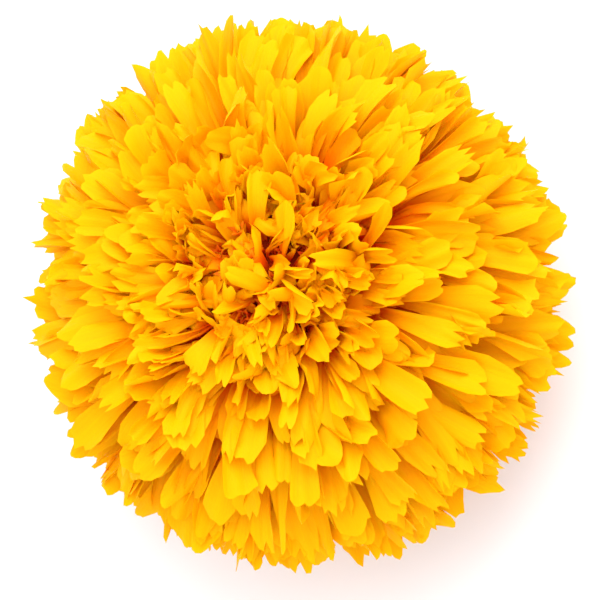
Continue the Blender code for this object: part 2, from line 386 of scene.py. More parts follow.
def cup_blank():
    """The cup before it is shaped: a skin over both sides of its wall, joined at the rim and the foot."""
    outside = [(row / WALL_ROWS, 0.0) for row in range(WALL_ROWS + 1)]
    inside = [(row / LINING_ROWS, 1.0) for row in range(LINING_ROWS, -1, -1)]
    sides = BRACTS * SIDES_PER_BRACT
    bm = blank_with("turn", "share", "inner")
    rings = []
    for share, inner in outside + inside:
        ring = []
        for side in range(sides):
            turn = 2.0 * math.pi * side / sides
            place = around(2.0 - inner, turn, share)
            ring.append(marked_vert(bm, place, turn=turn, share=share, inner=inner))
        rings.append(ring)
    faces_between(bm, rings + rings[:1])
    return in_scene("bracts", mesh_from("bracts", bm))


def geometry_tree(name, objects, numbers):
    """A Geometry Nodes tree that takes a geometry, these objects and numbers, and a material."""
    tree = bpy.data.node_groups.new(name, "GeometryNodeTree")
    new_socket = tree.interface.new_socket
    new_socket("Geometry", in_out="OUTPUT", socket_type="NodeSocketGeometry")
    new_socket("Geometry", in_out="INPUT", socket_type="NodeSocketGeometry")
    for label in objects:
        new_socket(label, in_out="INPUT", socket_type="NodeSocketObject")
    for label, value in numbers.items():
        new_socket(label, in_out="INPUT", socket_type="NodeSocketFloat").default_value = value
    new_socket("Material", in_out="INPUT", socket_type="NodeSocketMaterial")
    return tree, tree.nodes.new("NodeGroupInput"), tree.nodes.new("NodeGroupOutput")


def named(tree, kind, *labels):
    """The named attributes of one kind, as fields."""
    for label in labels:
        reader = tree.nodes.new("GeometryNodeInputNamedAttribute")
        reader.data_type = kind
        reader.inputs["Name"].default_value = label
        yield Field(tree, reader.outputs["Attribute"])


def inputs_of(tree, given, *labels):
    return (Field(tree, given.outputs[label]) for label in labels)


def set_position(tree, geometry, position):
    placed = tree.nodes.new("GeometryNodeSetPosition")
    tree.links.new(geometry, placed.inputs["Geometry"])
    tree.links.new(position.socket, placed.inputs["Position"])
    return placed.outputs["Geometry"]


def bent_line(root, bend, tip, along):
    """The place on a smooth bend at a share of its way, and the way ahead from there."""
    left = 1.0 - along
    place = root * (left * left) + bend * (left * along * 2.0) + tip * (along * along)
    return place, ((bend - root) * left + (tip - bend) * along).vector("NORMALIZE")


def covered(tree, geometry, given, result):
    """The tree's last nodes: they put its material on all that it has made."""
    cover = tree.nodes.new("GeometryNodeSetMaterial")
    tree.links.new(geometry, cover.inputs["Geometry"])
    tree.links.new(given.outputs["Material"], cover.inputs["Material"])
    tree.links.new(cover.outputs["Geometry"], result.inputs["Geometry"])
    return tree


def real_copies(tree, points, instance, rotation=None, scale=None):
    """Copies of a geometry on every point, made real."""
    copies = tree.nodes.new("GeometryNodeInstanceOnPoints")
    tree.links.new(points, copies.inputs["Points"])
    tree.links.new(instance, copies.inputs["Instance"])
    if rotation:
        tree.links.new(rotation.socket, copies.inputs["Rotation"])
    if scale:
        tree.links.new(scale.socket, copies.inputs["Scale"])
    real = tree.nodes.new("GeometryNodeRealizeInstances")
    tree.links.new(copies.outputs["Instances"], real.inputs["Geometry"])
    return real.outputs["Geometry"]


def object_input(tree, socket):
    """The geometry of the object that an input names."""
    info = tree.nodes.new("GeometryNodeObjectInfo")
    tree.links.new(socket, info.inputs["Object"])
    return info.outputs["Geometry"]


def cup_tree():
    """Shapes the blank into the cup."""
    tree, given, result = geometry_tree("ribbed_cup", (), {
        "Foot": CUP_LOW.z,
        "Height": CUP_RIM - CUP_LOW.z,
        "Radius": CUP_RADIUS,
        "Keel": 0.45 * MM,
        "Tip rise": CUP_HIGH.z - CUP_RIM,
        "Tip wall": 0.35 * MM,
    })
    foot, height, radius = inputs_of(tree, given, "Foot", "Height", "Radius")
    keel_rise, tip_rise, tip_wall = inputs_of(tree, given, "Keel", "Tip rise", "Tip wall")
    turn, share, inner = named(tree, "FLOAT", "turn", "share", "inner")
    keel = (turn * float(BRACTS)).math("COSINE") * 0.5 + 0.5
    middle = (turn * (0.5 * BRACTS)).math("COSINE").math("ABSOLUTE")
    groove = middle.math("POWER", GROOVE_SHARPNESS)
    tooth = middle.math("ARCSINE") * (2.0 / math.pi)
    free = share.eased(FREE_FROM, 1.0)
    outer_share = 1.0 - (1.0 - share).math("POWER", WALL_SWELL)
    outer = radius * (outer_share * (1.0 - FOOT_SHARE) + FOOT_SHARE)
    relief = keel * KEEL_PART + groove * GROOVE_PART - RIB_LEVEL
    rib = keel_rise * relief * share.eased(0.0, RIBS_FULL_FROM)
    bent = tip_rise * tooth * free * TIP_BEND
    inner_share = 1.0 - (1.0 - share).math("POWER", LINING_SWELL)
    body = inner_share * LINING_SPREAD + LINING_RADIUS + bent
    edge = outer + rib + bent - tip_wall
    inside = body + (edge - body) * free
    out = (outer + rib + bent) * (1.0 - inner) + inside * inner
    up = foot + height * share + tip_rise * tooth * free
    shaped = vector_from(tree, out * turn.math("COSINE"), out * turn.math("SINE"), up)
    placed = set_position(tree, given.outputs["Geometry"], shaped)
    return covered(tree, placed, given, result)


def gland_tree():
    """Drops every start point straight in onto the cup and sets a gland there."""
    tree, given, result = geometry_tree("oil_glands", ("Cup", "Gland"), {})
    start = Field(tree, tree.nodes.new("GeometryNodeInputPosition").outputs[0])
    turned, = named(tree, "FLOAT_VECTOR", "turned")
    x, y, z = parts_of(tree, start)
    drop = tree.nodes.new("GeometryNodeRaycast")
    tree.links.new(object_input(tree, given.outputs["Cup"]), drop.inputs["Target Geometry"])
    tree.links.new(start.socket, drop.inputs["Source Position"])
    tree.links.new(vector_from(tree, x * -1.0, y * -1.0, z * 0.0).socket, drop.inputs["Ray Direction"])
    placed = set_position(tree, given.outputs["Geometry"], Field(tree, drop.outputs["Hit Position"]))
    real = real_copies(tree, placed, object_input(tree, given.outputs["Gland"]), turned)
    return covered(tree, real, given, result)


def gland_blank():
    """One gland: a small low bead, long upwards."""
    bm = bmesh.new()
    bmesh.ops.create_uvsphere(bm, u_segments=8, v_segments=6, radius=1.0)
    bmesh.ops.scale(bm, verts=bm.verts, vec=GLAND_HALF)
    for face in bm.faces:
        face.smooth = True
    return blank("gland_blank", bm)


def points_with(name, things, at):
    """One point for each thing, where its own place named by at is, with its shape in attributes."""
    mesh = bpy.data.meshes.new(name)
    mesh.from_pydata([thing[at] for thing in things], [], [])
    for key, sample in things[0].items():
        if isinstance(sample, Vector):
            values = [number for thing in things for number in thing[key]]
            mesh.attributes.new(key, "FLOAT_VECTOR", "POINT").data.foreach_set("vector", values)
        else:
            values = [float(thing[key]) for thing in things]
            mesh.attributes.new(key, "FLOAT", "POINT").data.foreach_set("value", values)
    return in_scene(name, mesh)


def gland_points():
    """Start points round the cup, two rows to a bract, each beside its keel."""
    draw = random.Random(GLAND_SEED)
    glands = []
    for bract in range(BRACTS):
        for beside in (-GLAND_BESIDE, GLAND_BESIDE):
            for row in range(GLAND_ROWS):
                share = GLAND_LOWEST + GLAND_STEP * row + draw.uniform(-0.015, 0.015)
                along = bract + beside * (1.0 - GLAND_NARROWING * row) + draw.uniform(-0.02, 0.02)
                turn = 2.0 * math.pi * along / BRACTS
                up = CUP_LOW.z + share * (CUP_RIM - CUP_LOW.z)
                glands.append({"start": around(GLAND_START, turn, up), "turned": Vector((0.0, 0.0, turn))})
    return points_with("oil_glands", glands, "start")


def grow(points, tree, values):
    """Run a tree on an object and turn what it makes into a plain mesh in the same object."""
    modifier = points.modifiers.new("grow", "NODES")
    modifier.node_group = tree
    for item in tree.interface.items_tree:
        if item.in_out == "INPUT" and item.name in values:
            modifier[item.identifier] = values[item.name]
    bpy.context.view_layer.update()
    mesh = bpy.data.meshes.new_from_object(points.evaluated_get(bpy.context.evaluated_depsgraph_get()))
    points.modifiers.remove(modifier)
    points.data = mesh
    return points


def bract_material():
    """Fresh green, paler at the foot, darker and a little red towards the tips."""
    skin = Skin("bract_skin")
    vein, mottle = skin.grain(skin.place(), BRACT_GRAIN)
    raised = skin.attribute("share") * 0.5 + vein * 0.3 + mottle * 0.2
    colour = skin.colours(raised, (
        (0.2, 0.36, 0.47, 0.13),
        (0.45, 0.20, 0.35, 0.05),
        (0.72, 0.11, 0.24, 0.03),
        (0.9, 0.20, 0.16, 0.03),
    ))
    return skin.finish(colour, vein, rough=0.4, bump=0.4, depth=0.12 * MM, glow=0.1)


def gland_material():
    """Clear brownish orange, as the oil shows through."""
    skin = Skin("gland_skin")
    vein, mottle = skin.grain(skin.place(), GLAND_GRAIN)
    colour = skin.colours(mottle, ((0.3, 0.26, 0.12, 0.015), (0.7, 0.42, 0.22, 0.03)))
    return skin.finish(colour, vein, rough=0.25, bump=0.2, depth=0.05 * MM, glow=0.2)


bracts = grow(cup_blank(), cup_tree(), {"Material": bract_material()})
oil_glands = grow(gland_points(), gland_tree(), {
    "Cup": bracts, "Gland": gland_blank(), "Material": gland_material()})
for piece in (bracts, oil_glands):
    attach(piece, "root")
    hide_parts("bract_cup")


# --- Ray florets ---------------------------------------------------------------------------------
# The petals: thin satin blades, narrow at the root and blunt-toothed at the tip, which grow in
# spirals all over the head and curl outwards. Each grows where the solid model's blade does, from
# the same rule and the same seeded draws, and shorter ones fill the gaps between them.

GOLDEN_ANGLE = math.radians(137.508)
FLORET_SEED = 11
HEAD_RADIUS = 37.0 * MM
HEAD_MIDDLE = 21.0 * MM
DOME_RISE = 23.5 * MM
LOWER_DROP = 20.0 * MM
LONG_WAY = math.radians(130.0)
LONG_SHARE = 0.022
THREEFOLD_SHARE = 0.012
THREEFOLD_TURN = 0.7
DISC_LOW, DISC_HIGH = (Vector(corner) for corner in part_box("disc_florets"))
DISC_RADIUS = 0.5 * (DISC_HIGH.x - DISC_LOW.x)
DISC_CLEARANCE = 1.1 * MM
BALL_FLORETS = 218
TOP_POLAR = math.radians(14.0)
LOW_POLAR = math.radians(128.0)
LEAST_CURL = 5.0
MIDWAY_CURL = 36.0
INNER_ZONE = 0.3
INNER_SHORTER = 0.4
INNER_STEEPER = 0.6
INNER_NARROWER = 0.3
SKIRT_FLORETS = 24
SKIRT_ROOT = Vector((9.5, 21.8)) * MM
SKIRT_BEND = Vector((20.5, 16.6)) * MM
SKIRT_OUT = 27.5 * MM
SKIRT_WIDTH = 1.08
RESTING_EVERY = 3
RESTING_TIP = -0.6 * MM
PETAL_WIDTH = 5.0 * MM
PETAL_TIP_RUN = 9.5 * MM
PETAL_ROOT_RUN = 9.0 * MM
LEAST_ROLL = -1.4
MOST_ROLL = 2.4
TUFT_SIZE = 18.0 * MM
TUFT_LEAN = 2.1 * MM
TUFT_WAVES = ((1.0, 0.6, 0.8, 0.4), (-0.7, 1.0, 0.5, 2.1), (0.4, -0.9, 1.0, 4.0))
OUTLINE_RAGGED = (0.93, 1.01)
OUTLINE_BELT = 0.3


def heading(angle):
    """A unit step (out, up) at an angle from straight up."""
    return Vector((math.sin(angle), math.cos(angle)))


def unevenness(turn):
    """The head is a little wider one way than the other, as grown: a share of its radius."""
    long_part = LONG_SHARE * math.cos(2.0 * (turn - LONG_WAY))
    return 1.0 + long_part + THREEFOLD_SHARE * math.cos(3.0 * turn + THREEFOLD_TURN)


def ball_floret(place, turn, draw, shorten=1.0):
    """Root, bend and tip (out, up) of a floret on the ball, and its width beside the usual width."""
    outward = 1.0 - (place + 0.5) / BALL_FLORETS
    polar = TOP_POLAR + (LOW_POLAR - TOP_POLAR) * outward ** 0.94 + math.radians(draw.uniform(-1.6, 1.6))
    reach = draw.uniform(0.95, 1.02) * unevenness(turn) * shorten
    rise = DOME_RISE * math.cos(polar)
    if polar >= 0.5 * math.pi:
        rise = -LOWER_DROP * abs(math.cos(polar)) ** 0.85
    tip = Vector((HEAD_RADIUS * reach * math.sin(polar) ** 0.9, HEAD_MIDDLE + reach * rise))
    curl = LEAST_CURL + MIDWAY_CURL * math.sin(math.pi * outward ** 0.6) + draw.uniform(-9.0, 10.0)
    inner = max(0.0, INNER_ZONE - outward) / INNER_ZONE
    bend = tip - PETAL_TIP_RUN * (1.0 - INNER_SHORTER * inner) * heading(polar + math.radians(curl))
    root = bend - PETAL_ROOT_RUN * heading(polar * (1.0 - INNER_STEEPER * inner))
    for point in (root, bend, tip):
        point.x = max(point.x, DISC_RADIUS + DISC_CLEARANCE)
    return root, bend, tip, 1.0 - INNER_NARROWER * inner


def skirt_floret(draw):
    """The same for a floret of the outermost row, which hangs from the cup's rim."""
    tip = Vector((SKIRT_OUT * draw.uniform(0.96, 1.04), draw.uniform(1.2, 2.8) * MM))
    return SKIRT_ROOT, SKIRT_BEND, tip, SKIRT_WIDTH


def grown(turn, path, draw):
    """A floret's shape in the world: its root, bend and tip on a path that is turned about the axis."""
    root, bend, tip, breadth = path
    turn = turn + math.radians(draw.uniform(-3.5, 3.5))
    out = Vector((math.cos(turn), math.sin(turn), 0.0))
    up = Vector((0.0, 0.0, 1.0))
    width = PETAL_WIDTH * breadth * draw.uniform(0.88, 1.1)
    fold = draw.uniform(-0.3, 0.8) * MM
    return {
        "root": out * root.x + up * root.y,
        "bend": out * bend.x + up * bend.y,
        "tip": out * tip.x + up * tip.y,
        "level": Vector((-out.y, out.x, 0.0)),
        "width": width,
        "roll": 4.0 * fold / width,
        "twist": math.radians(draw.uniform(-16.0, 16.0)),
        "teeth": draw.choice((2, 2, 2, 3)),
        "notch": draw.uniform(0.08, 0.15),
    }


def drift(place):
    """How the petals of a neighbourhood lean together, so that the head has tufts and gaps between them."""
    waves = []
    for *axis, phase in TUFT_WAVES:
        waves.append(math.sin(Vector(axis).dot(place) * 2.0 * math.pi / TUFT_SIZE + phase))
    return Vector(waves)


def dressed(floret, inward, draw):
    """Give a floret what the solid model has no room for: its own lean, ruffles, rolls, teeth and tone.

    From above the head keeps its round outline: no tip stands out of it, and those of its belt reach it.
    """
    floret["teeth"] += draw.choice((-1, 0, 0, 1))
    floret["notch"] *= draw.uniform(0.3, 1.3)
    floret["point"] = draw.uniform(0.03, 0.24)
    floret["crease"] = draw.uniform(0.08, 0.36) * MM
    floret["roll"] = min(MOST_ROLL, max(LEAST_ROLL, floret["roll"] + draw.gauss(0.4, 0.85)))
    floret["twist"] += math.radians(draw.gauss(0.0, 30.0))
    floret["width"] *= draw.uniform(0.7, 1.2)
    floret["sway"] = draw.gauss(0.0, 1.4) * MM
    floret["ruffle"] = draw.uniform(0.3, 1.6) * MM
    floret["phase"] = draw.uniform(0.0, 2.0 * math.pi)
    floret["tone"] = draw.random()
    floret["inward"] = inward
    ahead = (floret["tip"] - floret["bend"]).normalized()
    raised = ahead.cross(floret["level"])
    lean = ahead * draw.uniform(-2.6, 0.3)
    lean += raised * draw.gauss(0.0, 1.6)
    lean += floret["level"] * draw.gauss(0.0, 1.9)
    tuft = drift(floret["tip"]) * TUFT_LEAN
    floret["tip"] += lean * MM + tuft - ahead * max(0.0, ahead.dot(tuft))
    floret["bend"] += raised * draw.gauss(0.0, 0.7) * MM
    tip = floret["tip"]
    turn = math.atan2(tip.y, tip.x)
    above = (tip.z - HEAD_MIDDLE) / DOME_RISE
    edge = HEAD_RADIUS * unevenness(turn) * draw.uniform(*OUTLINE_RAGGED)
    edge *= math.sqrt(max(0.0, 1.0 - max(0.0, above) ** 2))
    reached = math.hypot(tip.x, tip.y)
    if reached > edge or abs(above) < OUTLINE_BELT:
        tip.xy *= edge / reached
    return floret


main_florets = []
rule_draw = random.Random(FLORET_SEED)
look_draw = random.Random(FLORET_SEED + 1)
for index in range(SKIRT_FLORETS + BALL_FLORETS):
    if index < SKIRT_FLORETS:
        turn = 2.0 * math.pi * index / SKIRT_FLORETS
        path = skirt_floret(rule_draw)
    else:
        turn = index * GOLDEN_ANGLE
        path = ball_floret(index - SKIRT_FLORETS, turn, rule_draw)
    floret = grown(turn, path, rule_draw)
    floret = dressed(floret, max(0.0, (index - SKIRT_FLORETS) / BALL_FLORETS), look_draw)
    if index < SKIRT_FLORETS and index % RESTING_EVERY == 0:
        floret["tip"].z = RESTING_TIP
    main_florets.append(floret)

GAP_FLORETS = 620
GAP_TURN = 1.0
INNERMOST_FROM = 0.8
INNERMOST_TILT = (-4.5, 3.5)
TILT_DROP = 0.3
EDGE_FLORETS = 110
EDGE_PLACES = (0.56, 0.74)
GAP_SKIRT_FLORETS = 40
GAP_SKIRT_REACH = (0.82, 1.0)
GAP_SKIRT_RISE = (1.0, 6.0)
gap_florets = []
for index in range(GAP_FLORETS):
    place = (index + 0.5) * BALL_FLORETS / GAP_FLORETS - 0.5
    turn = index * GOLDEN_ANGLE + GAP_TURN
    floret = grown(turn, ball_floret(place, turn, look_draw, look_draw.uniform(0.9, 1.0)), look_draw)
    floret = dressed(floret, place / BALL_FLORETS, look_draw)
    innermost = max(0.0, floret["inward"] - INNERMOST_FROM) / (1.0 - INNERMOST_FROM)
    tilt = innermost * look_draw.uniform(*INNERMOST_TILT) * MM
    floret["tip"].xy += floret["root"].xy.normalized() * tilt
    floret["tip"].z -= TILT_DROP * abs(tilt)
    gap_florets.append(floret)
for index in range(EDGE_FLORETS):
    turn = 2.0 * math.pi * index / EDGE_FLORETS
    place = (1.0 - look_draw.uniform(*EDGE_PLACES)) * BALL_FLORETS
    floret = grown(turn, ball_floret(place, turn, look_draw), look_draw)
    gap_florets.append(dressed(floret, place / BALL_FLORETS, look_draw))
for index in range(GAP_SKIRT_FLORETS):
    root, bend, tip, breadth = skirt_floret(look_draw)
    tip = tip * look_draw.uniform(*GAP_SKIRT_REACH)
    tip.y += look_draw.uniform(*GAP_SKIRT_RISE) * MM
    floret = grown(index * GOLDEN_ANGLE, (root, bend, tip, breadth), look_draw)
    gap_florets.append(dressed(floret, 0.0, look_draw))

PETAL_ROWS = (0.0, 0.38, 0.6, 0.78, 0.92, 1.0)
PETAL_COLUMNS = 8
BLANK_GAP = 0.1
TOOTH_SHARPNESS = 1.3
SHOULDER_POWER = 2.0
CLAW_SPREAD = 0.9
TIP_NARROWING = 0.25
ROOT_ROLL = 1.25
TIP_UNROLL = 0.5
FLAT_ROLL = 0.05
RIPPLES = 7.0
RIPPLE_SLANT = 1.5
RIPPLE_POWER = 1.5
PETAL_GRAIN = (6.0, 0.9, 90.0)
# Painted shade: the depth of the head is coloured deep red, fully deep inside and not at all near its
# surface. The same red colours the roots of the petals round its middle.
SHADE_AND_ROOT_RED = (0.98, 0.09, 0.0)
SHADE_FULL_SHARE = 0.6
SHADE_GONE_SHARE = 0.82
RED_ROOTS_FROM = 0.85
RED_ROOT_END = 0.2
RED_FADED_AT = 0.65


def petal_blank():
    """A petal before it is shaped: two sheets joined along the rim, as places along and across a petal.

    layer is 1 on the face, -1 on the back and 0 on the rim, where the two sheets meet.
    """
    bm = blank_with("along", "across", "layer")
    sheets = []
    for side in (1.0, -1.0):
        sheet = []
        for row, up in enumerate(PETAL_ROWS):
            line = []
            for column in range(PETAL_COLUMNS + 1):
                rim = row in (0, len(PETAL_ROWS) - 1) or column in (0, PETAL_COLUMNS)
                if rim and side < 0.0:
                    line.append(sheets[0][row][column])
                    continue
                level = 2.0 * column / PETAL_COLUMNS - 1.0
                sheet_side = 0.0 if rim else side
                place = (level, up, BLANK_GAP * sheet_side)
                line.append(marked_vert(bm, place, along=up, across=level, layer=sheet_side))
            sheet.append(line)
        sheets.append(sheet)
    layer = bm.verts.layers.float["layer"]
    # The shaping mirrors the blank, so here its faces look inwards. A corner face, with three of its points
    # on the rim, is cut from its inner point, so that the two sheets never share a triangle.
    for sheet, flip in zip(sheets, (True, False)):
        for lower, upper in zip(sheet, sheet[1:]):
            for column in range(PETAL_COLUMNS):
                ring = [lower[column], lower[column + 1], upper[column + 1], upper[column]]
                face = bm.faces.new(reversed(ring) if flip else ring)
                face.smooth = True
                inside = [at for at, vert in enumerate(face.verts) if vert[layer] != 0.0]
                if len(inside) == 1:
                    corner = face.verts[(inside[0] + 2) % 4]
                    bmesh.utils.face_split(face, face.verts[inside[0]], corner)
    for edge in bm.edges:
        edge.smooth = not all(vert[layer] == 0.0 for vert in edge.verts)
    return blank("petal_blank", bm)


def petal_tree():
    """Copies the blank to every floret point and shapes each copy by that point's attributes."""
    tree, given, result = geometry_tree("shaped_petals", ("Blank",), {
        "Thickness": 0.22 * MM,
        "Claw width": 0.36,
        "Lowest": 0.13 * MM,
    })
    real = real_copies(tree, given.outputs["Geometry"], object_input(tree, given.outputs["Blank"]))

    along, across, layer = named(tree, "FLOAT", "along", "across", "layer")
    width, roll, twist, teeth, notch = named(tree, "FLOAT", "width", "roll", "twist", "teeth", "notch")
    sway, ruffle, phase, point, crease = named(tree, "FLOAT", "sway", "ruffle", "phase", "point", "crease")
    root, bend, tip, level = named(tree, "FLOAT_VECTOR", "root", "bend", "tip", "level")
    thickness, claw, lowest = inputs_of(tree, given, "Thickness", "Claw width", "Lowest")

    # The tip's outline: a dip between teeth, and shoulders that round it off.
    wave = (teeth * (across + 1.0) * (0.5 * math.pi) + phase * 0.08).math("SINE").math("ABSOLUTE")
    dip = (1.0 - wave).math("POWER", TOOTH_SHARPNESS) * notch
    shoulder = across.math("ABSOLUTE").math("POWER", SHOULDER_POWER) * point
    far = along - along.math("POWER", 3.0) * (dip + shoulder)

    # The middle line: a smooth bend from the root to the tip.
    middle, ahead = bent_line(root, bend, tip, far)
    lean = twist * far
    raised = ahead.vector("CROSS_PRODUCT", level).vector("NORMALIZE")
    sideways = raised.vector("CROSS_PRODUCT", ahead) * lean.math("COSINE") + raised * lean.math("SINE")
    face = ahead.vector("CROSS_PRODUCT", sideways)

    # The cross-section: an arc, rolled more towards the root, with rippled edges.
    opened = claw + (1.0 - claw) * far.math("POWER", CLAW_SPREAD)
    half = width * 0.5 * opened * (1.0 - far.eased(0.85, 1.1) * TIP_NARROWING)
    bow = roll * (ROOT_ROLL - far * TIP_UNROLL)
    safe_bow = bow + (bow.math("COMPARE", 0.0, 0.02) * FLAT_ROLL)
    arc = safe_bow * across
    reach = half * arc.math("SINE") / safe_bow + sway * far * far
    lift = half * (1.0 - arc.math("COSINE")) / safe_bow
    near_edge = across.math("ABSOLUTE").math("POWER", RIPPLE_POWER)
    ripple = (far * RIPPLES + phase + across * RIPPLE_SLANT).math("SINE") * ruffle * near_edge * far
    channels = (across * (2.0 * math.pi) + phase * 0.2).math("COSINE") * crease * far
    skin = middle + sideways * reach + face * (lift + ripple + channels)

    # A petal that reaches the table bends along it; then the two sheets part by the thickness.
    x, y, z = parts_of(tree, skin)
    laid = vector_from(tree, x, y, z.math("MAXIMUM", lowest))
    shaped = laid + face * (layer * thickness * 0.5)
    placed = set_position(tree, real, shaped)
    return covered(tree, placed, given, result)


def petal_material():
    """Satin yellow, orange towards the root and faintly veined lengthwise; light comes through.

    Painted shade: deep red in the depth of the head, where the gaps between the petals fall into shade. The
    roots of the petals that stand round its middle are deep red too.
    """
    skin = Skin("petal_skin")
    along, across, tone, inward = (skin.attribute(label) for label in ("along", "across", "tone", "inward"))
    vein = skin.grain((across, along, tone), PETAL_GRAIN)[0]
    edge = across.math("ABSOLUTE").math("POWER", 3.0) * along
    # Painted light: the petals nearer the middle are coloured yellower, to lift the shade that falls on them
    # there.
    yellowing_and_painted_light = along * 0.85 + edge * 0.12 + (tone - 0.5) * 0.25 + (vein - 0.5) * 0.7 + inward * 0.3
    colour = skin.colours(yellowing_and_painted_light, (
        (0.0, 0.97, 0.15, 0.0),
        (0.2, 0.98, 0.27, 0.0),
        (0.4, 0.99, 0.34, 0.0),
        (0.65, 0.99, 0.36, 0.0),
        (1.0, 0.99, 0.41, 0.0),
    ))
    # Painted shade: points that lie deep inside the head, in the gaps between the petals and above the cup's
    # rim, turn deep red.
    x, y, z = skin.place()
    out = (x * x + y * y) / HEAD_RADIUS ** 2
    up = (z - HEAD_MIDDLE) / DOME_RISE
    out_of_shade = (out + up * up).math("SQRT").eased(SHADE_FULL_SHARE, SHADE_GONE_SHARE)
    middle_root = inward.eased(RED_ROOTS_FROM, 1.0) * (1.0 - along.eased(RED_ROOT_END, RED_FADED_AT))
    deep = ((1.0 - out_of_shade) * z.eased(CUP_RIM, HEAD_MIDDLE)).math("MAXIMUM", middle_root)
    colour = skin.mixed(deep, colour, SHADE_AND_ROOT_RED)
    return skin.finish(colour, vein, rough=0.5, bump=0.3, depth=0.1 * MM, glow=0.15)


petal_look = petal_material()
petals = petal_tree()
shapes = {"Blank": petal_blank(), "Material": petal_look}
for name, florets in (("ray_petals", main_florets), ("gap_petals", gap_florets)):
    piece = grow(points_with(name, florets, "tip"), petals, shapes)
    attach(piece, "root")
    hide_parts("ray_florets")


# --- The tubes of the ray florets ----------------------------------------------------------------
# Below its petal each ray floret is a slim tube that stands on the receptacle. Hundreds of them fill
# the inside of the head and are seen only in the gaps between the petals; their deep orange, darkening
# to deep red towards their feet, is painted shade.

TUBE_SIDES = 6
TUBE_ROWS = (0.0, 0.5, 0.8, 1.0)
TUBE_SPREAD = 0.85
TUBE_FOOT = STALK_HIGH.z + 0.2 * MM
TUBE_KNEE_OUT = 6.2 * MM
TUBE_KNEE_UP = 20.0 * MM
TUBE_OVERLAP = 0.25
TUBE_GRAIN = (2.0, 30.0, 90.0)


def closed_tube(bm, rings):
    """Smooth sides over rings of points, with a flat face at each end."""
    faces_between(bm, rings)
    bm.faces.new(reversed(rings[0]))
    bm.faces.new(rings[-1])


def tube_blank():
    """A tube before it is shaped, as places along it and round it, closed at both ends."""
    bm = blank_with("along", "round")
    rings = []
    for up in TUBE_ROWS:
        ring = []
        for side in range(TUBE_SIDES):
            turn = 2.0 * math.pi * side / TUBE_SIDES
            ring.append(marked_vert(bm, around(1.0, turn, up), along=up, round=turn))
        rings.append(ring)
    closed_tube(bm, rings)
    return blank("tube_blank", bm)


def tube_tree():
    """Copies the blank to every floret point and bends each copy from the receptacle to the petal's root."""
    tree, given, result = geometry_tree("floret_tubes", ("Blank",), {
        "Foot radius": 0.4 * MM,
        "Mouth radius": 1.0 * MM,
    })
    real = real_copies(tree, given.outputs["Geometry"], object_input(tree, given.outputs["Blank"]))
    foot_radius, mouth_radius = inputs_of(tree, given, "Foot radius", "Mouth radius")
    along, turn = named(tree, "FLOAT", "along", "round")
    foot, knee, mouth, level = named(tree, "FLOAT_VECTOR", "foot", "knee", "mouth", "level")
    middle, ahead = bent_line(foot, knee, mouth, along)
    face = ahead.vector("CROSS_PRODUCT", level).vector("NORMALIZE")
    sideways = face.vector("CROSS_PRODUCT", ahead)
    radius = foot_radius + (mouth_radius - foot_radius) * along
    shaped = middle + (sideways * turn.math("COSINE") + face * turn.math("SINE")) * radius
    placed = set_position(tree, real, shaped)
    return covered(tree, placed, given, result)


def tube_points():
    """One point for each petal of the head, with the tube's way from the receptacle to it."""
    draw = random.Random(FLORET_SEED + 2)
    tubes = []
    for floret in main_florets + gap_florets:
        out = Vector((floret["root"].x, floret["root"].y, 0.0)).normalized()
        spread = RECEPTACLE_RADIUS * TUBE_SPREAD * math.sqrt(draw.random())
        tubes.append({
            "foot": out * spread + Vector((0.0, 0.0, TUBE_FOOT)),
            "knee": out * TUBE_KNEE_OUT + Vector((0.0, 0.0, TUBE_KNEE_UP)),
            "mouth": floret["root"] + TUBE_OVERLAP * (floret["bend"] - floret["root"]),
            "level": floret["level"],
            "tone": draw.random(),
        })
    return points_with("floret_tubes", tubes, "mouth")


def tube_material():
    """Deep orange, darkening to deep red at the foot as painted shade deep inside the head."""
    skin = Skin("tube_skin")
    along, tone = (skin.attribute(label) for label in ("along", "tone"))
    vein, mottle = skin.grain((along, tone, tone), TUBE_GRAIN)
    # Painted shade: the colour darkens to deep red towards the foot, deep inside the head.
    colour = skin.colours(along * 0.8 + mottle * 0.2, (
        (0.1, 0.30, 0.045, 0.002),
        (0.5, 0.62, 0.09, 0.002),
        (0.95, 0.90, 0.16, 0.0),
    ))
    return skin.finish(colour, vein, rough=0.45, bump=0.2, depth=0.1 * MM, glow=0.2)


floret_tubes = grow(tube_points(), tube_tree(), {"Blank": tube_blank(), "Material": tube_material()})
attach(floret_tubes, "root")
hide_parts("ray_florets")


# --- The young florets ---------------------------------------------------------------------------
# The last ray florets to open, round and between the disc florets: short, narrow petals, still
# curled and crumpled, that stand up and lean every way and leave deep gaps, which the painted
# shade of the materials colours deep red.

